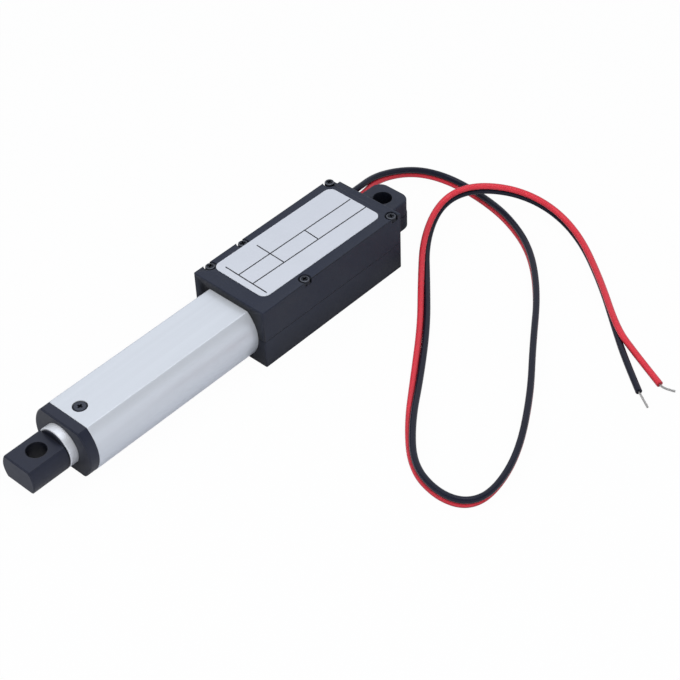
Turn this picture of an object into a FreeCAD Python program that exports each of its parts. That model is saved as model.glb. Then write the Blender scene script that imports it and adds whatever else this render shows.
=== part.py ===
"""Micro linear actuator.

A geared motor turns a lead screw, and a keyed nut pushes a hollow rod out of a flatted tube.
Two moulded shells hold the motor, the screw bearing and the tube, and form the rear eye between them.

Frame: millimetres. The origin is where the rear eye's axis meets the rod's axis, +X points to the
rod end and +Z to the label. Everything is drawn with the rod fully in.
"""
import FreeCAD, Part
import math
import os

V = FreeCAD.Vector

# Travel and eyes
stroke = 40.0
eye_hole = 4.2

# Lengths along the axis, from the rear eye forward
eye_to_housing = 5.2
rear_wall = 1.7
board_gap = 0.8
terminal_board_thickness = 0.8
terminal_length = 1.1
motor_cap_length = 1.6
motor_can_length = 11.8
rear_plate_thickness = 0.6
gear_end_gap = 0.3
gear_width = 1.1
gear_gap = 0.2
front_plate_thickness = 0.8
coupling_gap = 0.4
coupling_length = 3.5
bearing_gap = 0.3
bearing_width = 2.6
bearing_lip = 0.6
nut_rear_gap = 0.6
nut_flange_length = 4.0
stop_gap = 0.6
cap_spigot_length = 7.05
cap_flange_length = 2.33
rod_showing = 1.82
rod_end_setback = 4.2
rod_end_nose = 5.05

# Housing
housing_side = 1.93
housing_above = 7.7
housing_below = 6.85
housing_edge = 0.2
housing_corner = 0.25
seam_depth = 0.06
seam_half_height = 0.04
cavity_side_gap = 0.6
floor_wall = 1.4
tube_grip = 9.3
cradle_rib_width = 1.5
cradle_clearance = 0.1

# Rear lug
lug_back = 4.15
lug_width = 9.2
lug_height = 7.5
lug_corner = 2.5
lug_edge = 0.45
lug_lower_step = 0.08

# Housing screws
screw_row_share = 0.425
screw_head = 2.1
screw_pocket_clearance = 0.33
screw_pocket_depth = 1.0
screw_shank = 1.0
screw_end_depth = 4.5
screw_hole_clearance = 0.05
rear_screw_inset = 1.9
middle_screw_inset = 13.2
front_screw_inset = 3.7

# Label
label_thickness = 0.12
label_rear_inset = 3.1
label_front_inset = 3.6
label_side_margin = 2.4
label_shift = -0.15
label_corner = 1.7
label_turn = -0.8

# Outer tube and front cap
tube_diameter = 15.74
tube_flat_margin = 1.3
tube_wall = 0.8
tube_fit = 0.04
tube_crease = 0.4
tube_end_edge = 0.08
cap_step = 0.04
cap_flat_step = 0.04
cap_edge = 0.25
cap_fit = 0.05
cap_screw_head = 3.1
cap_screw_setback = 3.05
cap_screw_shank = 2.0
cap_screw_tip_gap = 0.15
wiper_width = 1.2
wiper_depth = 0.6
wiper_setback = 0.7

# Rod, rod end and nut
rod_diameter = 9.0
rod_wall = 1.0
rod_running = 0.06
rod_edge = 0.12
rod_end_across_flats = 5.6
rod_end_neck_step = 0.3
rod_end_neck_length = 0.3
rod_end_edge = 0.25
rod_end_spigot = 6.0
nut_sleeve_length = 4.0
nut_running = 0.08
joint_fit = 0.02

# Lead screw and its bearing
screw_diameter = 4.0
screw_running = 0.05
screw_collar_step = 0.7
screw_collar_length = 0.8
screw_overrun = 3.0
coupling_diameter = 6.0
coupling_pin = 0.8
bearing_diameter = 9.0
bearing_race_share = 0.292
ball_count = 7
ball_share = 0.52
ball_running = 0.03
bearing_lip_width = 0.7

# Motor and gearbox
motor_side_gap = 0.2
motor_floor_gap = 0.45
motor_cap_step = 0.1
motor_boss = 4.0
motor_boss_length = 0.5
motor_shaft_diameter = 1.0
motor_shaft_depth = 3.0
motor_shaft_running = 0.05
shaft_hole = 1.6
terminal_spacing = 7.2
terminal_width = 2.0
terminal_thickness = 0.4
gear_module = 0.2
small_teeth = 10
large_teeth = 19
addendum_modules = 0.65
dedendum_modules = 0.95
backlash_modules = 0.45
flank_angle = 20.0
arbor_diameter = 1.0
arbor_running = 0.05
output_shaft_diameter = 3.0
output_shaft_running = 0.05
stub_gap = 0.1
pillar_diameter = 1.2
pillar_near_share = (0.42, 0.78)
pillar_far_share = (-0.62, 0.58)

# Circuit boards
board_clearance = 0.1
limit_board_thickness = 0.5
limit_board_width = 4.2
limit_board_gap = 0.05
limit_board_slot = 0.05
switch_share = 0.59
switch_length = 2.6
switch_width = 3.0
switch_inset = 0.6
nut_switch_gap = 0.15
diode_length = 2.0
diode_width = 1.5
diode_height = 0.9
diode_pitch = 2.1

# Twin lead
wire_diameter = 1.4
wire_hole_clearance = 0.05
black_exit_y = -6.9
black_exit_height = 3.1
red_exit_y = -5.35
red_exit_height = 2.1
wire_straight = 4.4
tip_diameter = 0.55

# The lead's centre line from just behind the lug to where it splits, with the pair's roll in degrees.
# Roll 0 puts the black wire on the left of the way it runs, and 90 puts it on top.
lead_route = [
    (-6.5, -8.0, 1.2, 70),
    (-13.5, -7.0, -0.6, 95),
    (-19.0, -4.5, -2.6, 95),
    (-22.5, 0.5, -4.5, 95),
    (-23.0, 8.5, -5.35, 95),
    (-21.0, 18.0, -5.45, 85),
    (-15.5, 28.5, -5.45, 90),
    (-5.5, 38.5, -5.45, 90),
    (8.0, 47.5, -5.45, 90),
    (20.0, 56.0, -5.45, 90),
    (34.0, 64.0, -5.45, 80),
    (45.0, 67.0, -5.45, 70),
    (50.5, 65.0, -5.45, 80),
    (52.0, 59.0, -5.45, 90),
    (49.5, 51.0, -5.45, 105),
    (41.0, 43.0, -5.55, 130),
    (29.5, 35.0, -6.05, 185),
    (17.5, 26.5, -5.65, 220),
    (7.5, 18.0, -5.4, 235),
    (-2.5, 9.5, -4.3, 255),
    (-12.0, 6.0, -2.0, 270),
    (-18.0, 9.0, 0.35, 275),
    (-23.5, 16.5, 0.35, 280),
    (-27.0, 24.5, -2.3, 280),
    (-25.5, 34.0, -4.8, 280),
    (-17.0, 46.0, -5.45, 280),
    (-7.0, 57.5, -5.45, 270),
]
red_end = [(-4.2, 63.3, -5.6), (0.0, 73.1, -6.15)]
black_end = [(-1.5, 63.6, -6.15), (4.4, 71.2, -6.15)]
red_tip_end = [(0.5, 74.4, -6.15), (-0.3, 76.6, -6.15)]
black_tip_end = [(6.9, 75.1, -6.15)]

# Places along the axis that follow from the lengths above
housing_back = eye_to_housing
cavity_back = housing_back + rear_wall
board_back = cavity_back + board_gap
board_front = board_back + terminal_board_thickness
motor_back = board_front + terminal_length
can_back = motor_back + motor_cap_length
can_front = can_back + motor_can_length
gears_back = can_front + rear_plate_thickness
stage_step = gear_width + gear_gap
stage_count = 4
gears_front = gears_back + 2 * gear_end_gap + stage_count * gear_width + (stage_count - 1) * gear_gap
gearbox_front = gears_front + front_plate_thickness
coupling_back = gearbox_front + coupling_gap
coupling_front = coupling_back + coupling_length
bearing_back = coupling_front + bearing_gap
bearing_front = bearing_back + bearing_width
tube_back = bearing_front + bearing_lip
nut_back = tube_back + nut_rear_gap
nut_front = nut_back + nut_flange_length
spigot_back = nut_front + stroke + stop_gap
tube_front = spigot_back + cap_spigot_length
cap_front = tube_front + cap_flange_length
rod_end_back = cap_front + rod_showing
rod_end_hole_x = rod_end_back + rod_end_setback
rod_end_front = rod_end_hole_x + rod_end_nose
housing_front = tube_back + tube_grip
web_back = bearing_back - bearing_lip
screw_tip = nut_front + stroke + screw_overrun

# Sizes that follow from the ones above
rod_radius = rod_diameter / 2
rod_bore = rod_radius - rod_wall
rod_end_diameter = rod_diameter
rod_end_neck = rod_end_diameter - 2 * rod_end_neck_step
tube_across_flats = rod_diameter + 2 * tube_flat_margin
tube_radius = tube_diameter / 2
tube_flat = tube_across_flats / 2
bore_radius = tube_radius - tube_wall
bore_flat = tube_flat - tube_wall
cap_diameter = tube_diameter - 2 * cap_step
cap_across_flats = tube_across_flats - 2 * cap_flat_step
limit_board_outer = math.sqrt(bore_radius ** 2 - (limit_board_width / 2) ** 2) - limit_board_gap
limit_board_offset = limit_board_outer - limit_board_thickness
switch_height = switch_share * (limit_board_offset - rod_radius)
motor_diameter = 2 * (limit_board_offset - motor_side_gap)
motor_across_flats = 2 * (housing_below - floor_wall - motor_floor_gap)
motor_radius = motor_diameter / 2
motor_flat = motor_across_flats / 2
terminal_board_height = motor_across_flats - 2 * board_clearance
housing_width = tube_diameter + 2 * housing_side
housing_half = housing_width / 2
label_width = housing_width - 2 * label_side_margin
cavity_half = limit_board_outer + cavity_side_gap
cavity_floor = -housing_below + floor_wall
cavity_roof = housing_above - floor_wall
side_wall = housing_half - cavity_half
screw_row = housing_half - screw_row_share * side_wall
screw_pocket = screw_head + 2 * screw_pocket_clearance
screw_radius = screw_diameter / 2
screw_collar = screw_diameter + 2 * screw_collar_step
shaft_radius = output_shaft_diameter / 2
bearing_radius = bearing_diameter / 2
bearing_space = bearing_radius - screw_radius
bearing_race = bearing_race_share * bearing_space
ball_diameter = ball_share * bearing_space
ball_ring = (screw_radius + bearing_radius) / 2
gear_distance = gear_module * (small_teeth + large_teeth) / 2
tooth_addendum = addendum_modules * gear_module
tooth_dedendum = dedendum_modules * gear_module
tooth_backlash = backlash_modules * gear_module
small_gear_root = gear_module * small_teeth / 2 - tooth_dedendum
wire_radius = wire_diameter / 2
wire_pitch = wire_diameter
screw_places = [
    (housing_back + rear_screw_inset, -screw_row),
    (housing_back + rear_screw_inset, screw_row),
    (housing_front - middle_screw_inset, -screw_row),
    (housing_front - middle_screw_inset, screw_row),
    (housing_front - front_screw_inset, -screw_row),
]


def block(x0, x1, y0, y1, z0, z1):
    return Part.makeBox(x1 - x0, y1 - y0, z1 - z0, V(x0, y0, z0))


def bar(x0, x1, radius, y=0.0, z=0.0):
    return Part.makeCylinder(radius, x1 - x0, V(x0, y, z), V(1, 0, 0))


def post(x, y, z0, z1, radius):
    return Part.makeCylinder(radius, z1 - z0, V(x, y, z0))


def flatted_bar(x0, x1, radius, flat):
    """A round bar along X with flats above and below."""
    return bar(x0, x1, radius).common(block(x0, x1, -radius, radius, -flat, flat))


def edges_along_z(shape, x):
    """The upright edges of a shape at one place along X."""
    found = []
    for edge in shape.Edges:
        first = edge.Vertexes[0]
        last = edge.Vertexes[-1]
        upright = abs(first.Y - last.Y) < 1e-6 and abs(first.Z - last.Z) > 1e-6
        if upright and abs(first.X - x) < 1e-6 and abs(last.X - x) < 1e-6:
            found.append(edge)
    return found


def edges_along_x(shape, length):
    """The long edges of a bar that run its whole length."""
    found = []
    for edge in shape.Edges:
        first = edge.Vertexes[0]
        last = edge.Vertexes[-1]
        if abs(abs(first.X - last.X) - length) < 1e-6:
            found.append(edge)
    return found


def edges_at_end(shape, x):
    """The edges that lie in the plane at one place along X."""
    return [edge for edge in shape.Edges if all(abs(v.X - x) < 1e-6 for v in edge.Vertexes)]


def edges_at_level(shape, z):
    """The edges that lie in the plane at one height."""
    return [edge for edge in shape.Edges if all(abs(v.Z - z) < 1e-6 for v in edge.Vertexes)]


def lug_half(z0, z1, step, face):
    """Half of the rear lug, with its back corners and its outer face's rim rounded."""
    half_width = lug_width / 2 + step
    back = -lug_back - step
    plate = block(back, cavity_back, -half_width, half_width, z0, z1)
    plate = plate.makeFillet(lug_corner, edges_along_z(plate, back))
    rim = [edge for edge in edges_at_level(plate, face) if edge.CenterOfMass.x < cavity_back - 1e-6]
    return plate.makeFillet(lug_edge, rim)


def housing_outside():
    body = block(housing_back, housing_front, -housing_half, housing_half, -housing_below, housing_above)
    upright = edges_along_z(body, housing_back) + edges_along_z(body, housing_front)
    body = body.makeFillet(housing_corner, upright)
    rims = edges_at_level(body, -housing_below) + edges_at_level(body, housing_above)
    body = body.makeFillet(housing_edge, rims)
    upper_lug = lug_half(0, lug_height / 2, 0, lug_height / 2)
    lower_lug = lug_half(-lug_height / 2, 0, lug_lower_step, -lug_height / 2)
    return body.fuse([upper_lug, lower_lug])


def housing_seam():
    """The shallow groove round the outside where the two shells meet, left off the lug's root."""
    outer = block(
        housing_back, housing_front, -housing_half, housing_half, -seam_half_height, seam_half_height
    )
    inner_half = housing_half - seam_depth
    inner = block(
        housing_back + seam_depth, housing_front - seam_depth, -inner_half, inner_half,
        -seam_half_height, seam_half_height
    )
    root_half = lug_width / 2 + lug_lower_step
    root = block(
        housing_back, cavity_back, -root_half, root_half, -seam_half_height, seam_half_height
    )
    return outer.cut([inner, root])


def cradle_ribs():
    """Ribs across the motor bay that close round the motor and the gearbox."""
    grip_radius = motor_radius + cradle_clearance
    grip_flat = motor_flat + cradle_clearance
    places = [
        can_back + cradle_rib_width,
        can_front - 2 * cradle_rib_width,
        gearbox_front - cradle_rib_width,
    ]
    ribs = []
    for x in places:
        rib = block(x, x + cradle_rib_width, -cavity_half, cavity_half, cavity_floor, cavity_roof)
        rib = rib.cut(flatted_bar(x, x + cradle_rib_width, grip_radius, grip_flat))
        ribs.append(rib.cut(limit_board_slot_at(x, x + cradle_rib_width)))
    return ribs


def limit_board_slot_at(x0, x1):
    half = limit_board_width / 2 + limit_board_slot
    outer = limit_board_outer + limit_board_slot
    inner = limit_board_offset - limit_board_slot
    return block(x0, x1, -outer, -inner, -half, half)


def housing_inside():
    """All that is cut out of the two closed shells, before the ribs go in."""
    lip_radius = bearing_radius - bearing_lip_width
    cuts = [
        block(cavity_back, web_back, -cavity_half, cavity_half, cavity_floor, cavity_roof),
        bar(web_back, tube_back, lip_radius),
        bar(bearing_back, bearing_front, bearing_radius + joint_fit),
        flatted_bar(tube_back, housing_front, tube_radius + tube_fit, tube_flat + tube_fit),
        limit_board_slot_at(web_back, tube_back),
        post(0, 0, -lug_height, lug_height, eye_hole / 2),
        housing_seam(),
    ]
    for y, z in ((black_exit_y, black_exit_height), (red_exit_y, red_exit_height)):
        cuts.append(bar(housing_back, board_back, wire_radius + wire_hole_clearance, y, z))
    pocket_floor = housing_above - screw_pocket_depth
    for x, y in screw_places:
        cuts.append(post(x, y, pocket_floor, housing_above, screw_pocket / 2))
        cuts.append(post(x, y, -screw_end_depth, pocket_floor, screw_shank / 2 + screw_hole_clearance))
    return cuts


def make_housing():
    shell = housing_outside().cut(housing_inside()).fuse(cradle_ribs()).removeSplitter()
    reach = housing_front + lug_back + stroke
    upper = shell.common(block(-reach, reach, -reach, reach, 0, reach))
    lower = shell.common(block(-reach, reach, -reach, reach, -reach, 0))
    return upper, lower


def make_housing_screws():
    pocket_floor = housing_above - screw_pocket_depth
    screws = []
    for x, y in screw_places:
        head = post(x, y, pocket_floor, housing_above, screw_head / 2)
        head = head.makeFillet(screw_head / 10, edges_at_level(head, housing_above))
        screws.append(head.fuse(post(x, y, -screw_end_depth, pocket_floor, screw_shank / 2)))
    return Part.makeCompound(screws)


def make_label():
    x0 = housing_back + label_rear_inset
    x1 = housing_front - label_front_inset
    y0 = label_shift - label_width / 2
    y1 = label_shift + label_width / 2
    sticker = block(x0, x1, y0, y1, housing_above, housing_above + label_thickness)
    sticker = sticker.makeFillet(label_corner, edges_along_z(sticker, x0) + edges_along_z(sticker, x1))
    return sticker.rotate(V(x0, label_shift, 0), V(0, 0, 1), label_turn)


def make_outer_tube():
    tube = flatted_bar(tube_back, tube_front, tube_radius, tube_flat)
    tube = tube.makeFillet(tube_crease, edges_along_x(tube, tube_front - tube_back))
    tube = tube.makeChamfer(tube_end_edge, edges_at_end(tube, tube_front))
    tube = tube.cut(flatted_bar(tube_back, tube_front, bore_radius, bore_flat))
    return tube.cut(post(cap_screw_x(), 0, 0, tube_radius, cap_screw_head / 2 + joint_fit))


def cap_screw_x():
    return tube_front - cap_screw_setback


def cap_screw_tip():
    return rod_radius + cap_screw_tip_gap


def wiper_place():
    back = cap_front - wiper_setback - wiper_width
    return back, back + wiper_width


def make_front_cap():
    flange = flatted_bar(tube_front, cap_front, cap_diameter / 2, cap_across_flats / 2)
    flange = flange.makeChamfer(cap_edge, edges_at_end(flange, cap_front))
    spigot = flatted_bar(spigot_back, tube_front, bore_radius - cap_fit, bore_flat - cap_fit)
    cap = flange.fuse(spigot)
    cap = cap.cut(bar(spigot_back, cap_front, rod_radius + rod_running))
    back, front = wiper_place()
    cap = cap.cut(bar(back, front, rod_radius + rod_running + wiper_depth))
    return cap.cut(post(cap_screw_x(), 0, 0, tube_radius, cap_screw_shank / 2 + joint_fit))


def make_cap_screw():
    head = post(cap_screw_x(), 0, bore_flat, tube_flat, cap_screw_head / 2)
    return head.fuse(post(cap_screw_x(), 0, cap_screw_tip(), bore_flat, cap_screw_shank / 2))


def make_wiper_ring():
    back, front = wiper_place()
    ring = bar(back, front, rod_radius + rod_running + wiper_depth - joint_fit)
    return ring.cut(bar(back, front, rod_radius + rod_running / 2))


def make_push_rod():
    rod = bar(nut_front, rod_end_back, rod_radius)
    rod = rod.makeChamfer(rod_edge, edges_at_end(rod, rod_end_back))
    return rod.cut(bar(nut_front, rod_end_back, rod_bore))


def make_rod_end():
    """The eye: a neck that seats on the rod, then a nose with flats and a cross hole."""
    neck_front = rod_end_back + rod_end_neck_length
    nose = flatted_bar(neck_front, rod_end_front, rod_end_diameter / 2, rod_end_across_flats / 2)
    nose = nose.makeChamfer(rod_end_edge, edges_at_end(nose, rod_end_front))
    neck = bar(rod_end_back, neck_front, rod_end_neck / 2)
    spigot = bar(rod_end_back - rod_end_spigot, rod_end_back, rod_bore - joint_fit)
    eye = nose.fuse([neck, spigot])
    return eye.cut(post(rod_end_hole_x, 0, -rod_end_diameter, rod_end_diameter, eye_hole / 2))


def make_drive_nut():
    """A flange keyed by the tube's flats and relieved beside the switches, with a sleeve in the rod."""
    flange = flatted_bar(nut_back, nut_front, bore_radius - nut_running, bore_flat - nut_running)
    relief = limit_board_offset - switch_height - nut_switch_gap
    flange = flange.cut(block(nut_back, nut_front, -tube_radius, -relief, -tube_radius, tube_radius))
    nut = flange.fuse(bar(nut_front, nut_front + nut_sleeve_length, rod_bore - joint_fit))
    return nut.cut(bar(nut_back, nut_front + nut_sleeve_length, screw_radius + screw_running))


def coupling_split():
    return coupling_back + coupling_length / 2


def coupling_pin_places():
    quarter = coupling_length / 4
    return coupling_back + quarter, coupling_front - quarter


def pin_hole(x):
    return post(x, 0, -coupling_diameter, coupling_diameter, coupling_pin / 2 + joint_fit)


def make_lead_screw():
    journal = bar(coupling_split() + joint_fit, screw_tip, screw_radius)
    collar = bar(bearing_front, bearing_front + screw_collar_length, screw_collar / 2)
    return journal.fuse(collar).cut(pin_hole(coupling_pin_places()[1]))


def make_screw_coupling():
    sleeve = bar(coupling_back, coupling_front, coupling_diameter / 2)
    sleeve = sleeve.cut(bar(coupling_back, coupling_split(), shaft_radius + joint_fit))
    sleeve = sleeve.cut(bar(coupling_split(), coupling_front, screw_radius + joint_fit))
    return sleeve.cut([pin_hole(x) for x in coupling_pin_places()])


def make_coupling_pins():
    half = coupling_diameter / 2
    return Part.makeCompound([post(x, 0, -half, half, coupling_pin / 2) for x in coupling_pin_places()])


def ball_groove():
    middle = (bearing_back + bearing_front) / 2
    return Part.makeTorus(ball_ring, ball_diameter / 2 + ball_running, V(middle, 0, 0), V(1, 0, 0))


def make_bearing_outer_race():
    race = bar(bearing_back, bearing_front, bearing_radius)
    race = race.cut(bar(bearing_back, bearing_front, bearing_radius - bearing_race))
    return race.cut(ball_groove())


def make_bearing_inner_race():
    race = bar(bearing_back, bearing_front, screw_radius + bearing_race)
    race = race.cut(bar(bearing_back, bearing_front, screw_radius + joint_fit))
    return race.cut(ball_groove())


def make_bearing_balls():
    middle = (bearing_back + bearing_front) / 2
    balls = []
    for number in range(ball_count):
        angle = 2 * math.pi * number / ball_count
        centre = V(middle, ball_ring * math.cos(angle), ball_ring * math.sin(angle))
        balls.append(Part.makeSphere(ball_diameter / 2, centre))
    return Part.makeCompound(balls)


def make_motor_can():
    can = flatted_bar(can_back, can_front, motor_radius, motor_flat)
    hole = motor_shaft_diameter / 2 + motor_shaft_running
    return can.cut(bar(can_front - motor_shaft_depth, can_front, hole))


def make_motor_end_cap():
    cap = flatted_bar(motor_back, can_back, motor_radius - motor_cap_step, motor_flat - motor_cap_step)
    return cap.fuse(bar(motor_back - motor_boss_length, motor_back, motor_boss / 2))


def make_motor_terminals():
    tabs = []
    for side in (-1, 1):
        y = side * terminal_spacing / 2
        half = terminal_thickness / 2
        half_width = terminal_width / 2
        tabs.append(block(board_front, motor_back, y - half, y + half, -half_width, half_width))
    return Part.makeCompound(tabs)


def stage_x(stage):
    return gears_back + gear_end_gap + stage * stage_step


def make_motor_shaft():
    return bar(can_front - motor_shaft_depth, stage_x(0) + gear_width, motor_shaft_diameter / 2)


def gear_outline(teeth, phase):
    """Corners of a straight-flanked gear, with a tooth centred on the phase angle."""
    pitch_radius = gear_module * teeth / 2
    slope = math.tan(math.radians(flank_angle))
    half_tooth = (math.pi * gear_module / 2 - tooth_backlash) / 2
    root = pitch_radius - tooth_dedendum
    tip = pitch_radius + tooth_addendum
    root_half = half_tooth + tooth_dedendum * slope
    tip_half = half_tooth - tooth_addendum * slope
    corners = [(root, -root_half), (tip, -tip_half), (tip, tip_half), (root, root_half)]
    outline = []
    for tooth in range(teeth):
        middle = phase + 2 * math.pi * tooth / teeth
        for radius, half in corners:
            angle = middle + half / radius
            outline.append((radius * math.cos(angle), radius * math.sin(angle)))
    return outline


def gear_wheel(stage, teeth, phase, axis_y):
    points = [V(stage_x(stage), axis_y + y, z) for y, z in gear_outline(teeth, phase)]
    face = Part.Face(Part.makePolygon(points + points[:1]))
    return face.extrude(V(gear_width, 0, 0))


def tooth_towards(angle):
    return angle


def gap_towards(angle):
    return angle + math.pi / large_teeth


def compound_gear(stage, facing, axis_y):
    """A large wheel in one stage and a small one in the next, turned to mesh on the side they face."""
    large = gear_wheel(stage, large_teeth, gap_towards(facing), axis_y)
    small = gear_wheel(stage + 1, small_teeth, tooth_towards(facing), axis_y)
    back = stage_x(stage)
    front = stage_x(stage + 1) + gear_width
    hub = bar(back, front, small_gear_root, axis_y)
    bore = bar(back, front, arbor_diameter / 2 + arbor_running, axis_y)
    return large.fuse([small, hub]).cut(bore)


def make_motor_pinion():
    pinion = gear_wheel(0, small_teeth, tooth_towards(0), 0)
    return pinion.cut(bar(stage_x(0), stage_x(0) + gear_width, motor_shaft_diameter / 2 + joint_fit))


def make_output_gear():
    gear = gear_wheel(3, large_teeth, gap_towards(0), 0)
    return gear.cut(bar(stage_x(3), stage_x(3) + gear_width, shaft_radius + joint_fit))


def make_output_shaft():
    """The shaft that carries the output gear, with a thin stub on which the second gear spins."""
    shaft_back = stage_x(2) + gear_width + stub_gap
    shaft = bar(shaft_back, coupling_split() - joint_fit, shaft_radius)
    stub = bar(stage_x(0) + gear_width + stub_gap, shaft_back, arbor_diameter / 2)
    return shaft.fuse(stub).cut(pin_hole(coupling_pin_places()[0]))


def gearbox_plate(x0, x1, shaft_opening):
    plate = flatted_bar(x0, x1, motor_radius, motor_flat)
    arbor_hole = bar(x0, x1, arbor_diameter / 2 + joint_fit, gear_distance)
    return plate.cut([bar(x0, x1, shaft_opening), arbor_hole])


def make_gearbox_pillars():
    pillars = []
    for across, up in (pillar_near_share, pillar_far_share):
        for side in (-1, 1):
            z = side * up * motor_flat
            pillars.append(bar(gears_back, gears_front, pillar_diameter / 2, across * motor_radius, z))
    return Part.makeCompound(pillars)


def make_gear_arbor():
    return bar(can_front, gearbox_front, arbor_diameter / 2, gear_distance)


def make_terminal_board():
    half = cavity_half - board_clearance
    half_height = terminal_board_height / 2
    return block(board_back, board_front, -half, half, -half_height, half_height)


def make_limit_board():
    half = limit_board_width / 2
    front = spigot_back - board_clearance
    return block(board_front, front, -limit_board_outer, -limit_board_offset, -half, half)


def make_limit_switches():
    """One switch beside the nut at each end of its travel."""
    face = -limit_board_offset + switch_height
    half = switch_width / 2
    switches = []
    for x in (nut_back + switch_inset, nut_back + switch_inset + stroke):
        body = block(x, x + switch_length, -limit_board_offset, face, -half, half)
        switches.append(body.makeChamfer(switch_height / 5, edges_along_y_face(body, face)))
    return Part.makeCompound(switches)


def edges_along_y_face(shape, y):
    return [edge for edge in shape.Edges if all(abs(v.Y - y) < 1e-6 for v in edge.Vertexes)]


def make_blocking_diodes():
    back = coupling_back
    front = back + diode_length
    face = -limit_board_offset + diode_height
    half = diode_width / 2
    diodes = []
    for side in (-1, 1):
        z = side * diode_pitch / 2
        diodes.append(block(back, front, -limit_board_offset, face, z - half, z + half))
    return Part.makeCompound(diodes)


def wire_points(side):
    """One wire's points along the bonded stretch: side +1 is the black wire, -1 the red one."""
    centres = [V(x, y, z) for x, y, z, roll in lead_route]
    points = []
    for number, (x, y, z, roll) in enumerate(lead_route):
        before = centres[max(number - 1, 0)]
        after = centres[min(number + 1, len(centres) - 1)]
        along = after - before
        left = V(-along.y, along.x, 0).normalize()
        angle = math.radians(roll)
        offset = left * math.cos(angle) + V(0, 0, math.sin(angle))
        points.append(V(x, y, z) + offset * (side * wire_pitch / 2))
    return points


def wire_exit(y, z):
    """The straight run through the rear wall and a little past the lug's root."""
    return [V(board_back, y, z), V(housing_back - wire_straight, y, z)]


def tube_along(name, points, radius):
    """A round tube on straight runs joined by arcs as large as the runs allow."""
    edges = []
    radii = []
    start = points[0]
    for before, corner, after in zip(points, points[1:], points[2:]):
        back = (before - corner).normalize()
        ahead = (after - corner).normalize()
        reach = 0.45 * min((before - corner).Length, (after - corner).Length)
        turn = math.pi - back.getAngle(ahead)
        arc_radius = reach / math.tan(turn / 2)
        bisector = (back + ahead).normalize()
        middle = corner + bisector * (arc_radius / math.cos(turn / 2) - arc_radius)
        arc_start = corner + back * reach
        arc_end = corner + ahead * reach
        edges.append(Part.LineSegment(start, arc_start).toShape())
        edges.append(Part.Arc(arc_start, middle, arc_end).toShape())
        radii.append(arc_radius)
        start = arc_end
    edges.append(Part.LineSegment(start, points[-1]).toShape())
    path = Part.Wire(edges)
    section = Part.Wire(Part.Circle(points[0], points[1] - points[0], radius).toShape())
    tube = path.makePipeShell([section], True, False)
    expected = math.pi * radius ** 2 * path.Length
    print(name, "length", round(path.Length, 1), "volume share", round(tube.Volume / expected, 4))
    print(name, "radii", [round(value, 1) for value in radii])
    return tube


def make_leads():
    black = wire_exit(black_exit_y, black_exit_height) + wire_points(1) + [V(*p) for p in black_end]
    red = wire_exit(red_exit_y, red_exit_height) + wire_points(-1) + [V(*p) for p in red_end]
    black_tip = black[-1:] + [V(*p) for p in black_tip_end]
    red_tip = red[-1:] + [V(*p) for p in red_tip_end]
    return {
        "lead_black": tube_along("lead_black", black, wire_radius),
        "lead_red": tube_along("lead_red", red, wire_radius),
        "lead_black_tip": tube_along("lead_black_tip", black_tip, tip_diameter / 2),
        "lead_red_tip": tube_along("lead_red_tip", red_tip, tip_diameter / 2),
    }


def make_parts():
    upper, lower = make_housing()
    shaft_opening = shaft_radius + output_shaft_running
    parts = {
        "housing_upper": upper,
        "housing_lower": lower,
        "housing_screws": make_housing_screws(),
        "rating_label": make_label(),
        "outer_tube": make_outer_tube(),
        "front_cap": make_front_cap(),
        "cap_screw": make_cap_screw(),
        "wiper_ring": make_wiper_ring(),
        "push_rod": make_push_rod(),
        "rod_end": make_rod_end(),
        "drive_nut": make_drive_nut(),
        "lead_screw": make_lead_screw(),
        "screw_coupling": make_screw_coupling(),
        "coupling_pins": make_coupling_pins(),
        "bearing_outer_race": make_bearing_outer_race(),
        "bearing_inner_race": make_bearing_inner_race(),
        "bearing_balls": make_bearing_balls(),
        "motor_can": make_motor_can(),
        "motor_end_cap": make_motor_end_cap(),
        "motor_terminals": make_motor_terminals(),
        "motor_shaft": make_motor_shaft(),
        "motor_pinion": make_motor_pinion(),
        "first_gear": compound_gear(0, math.pi, gear_distance),
        "second_gear": compound_gear(1, 0, 0),
        "third_gear": compound_gear(2, math.pi, gear_distance),
        "output_gear": make_output_gear(),
        "output_shaft": make_output_shaft(),
        "gearbox_rear_plate": gearbox_plate(can_front, gears_back, shaft_hole / 2),
        "gearbox_front_plate": gearbox_plate(gears_front, gearbox_front, shaft_opening),
        "gearbox_pillars": make_gearbox_pillars(),
        "gear_arbor": make_gear_arbor(),
        "terminal_board": make_terminal_board(),
        "limit_board": make_limit_board(),
        "limit_switches": make_limit_switches(),
        "blocking_diodes": make_blocking_diodes(),
    }
    parts.update(make_leads())
    return parts


def main():
    os.makedirs("parts", exist_ok=True)
    for name, shape in make_parts().items():
        if not shape.isValid():
            raise ValueError(name + " is not a valid solid")
        shape.exportStep(os.path.join("parts", name + ".step"))
        print(name, len(shape.Solids), "solids", round(shape.Volume, 2), "mm3")
    print("hole to hole", rod_end_hole_x)


main()
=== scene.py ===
"""Looks of a micro linear actuator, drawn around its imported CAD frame.

The CAD solids give nearly every rigid shape. This add-on gives them their finishes and models what they
leave out: the label's ruled print, the screws' cross recesses, the far rear pocket's open back, the lead
screw's thread, and the twin lead with its bare stranded ends. Blender's unit is the metre, and the frame
is the CAD's: +X runs to the rod end, +Z to the label.
"""

import math

import bmesh
import bpy
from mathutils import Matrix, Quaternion, Vector


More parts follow.
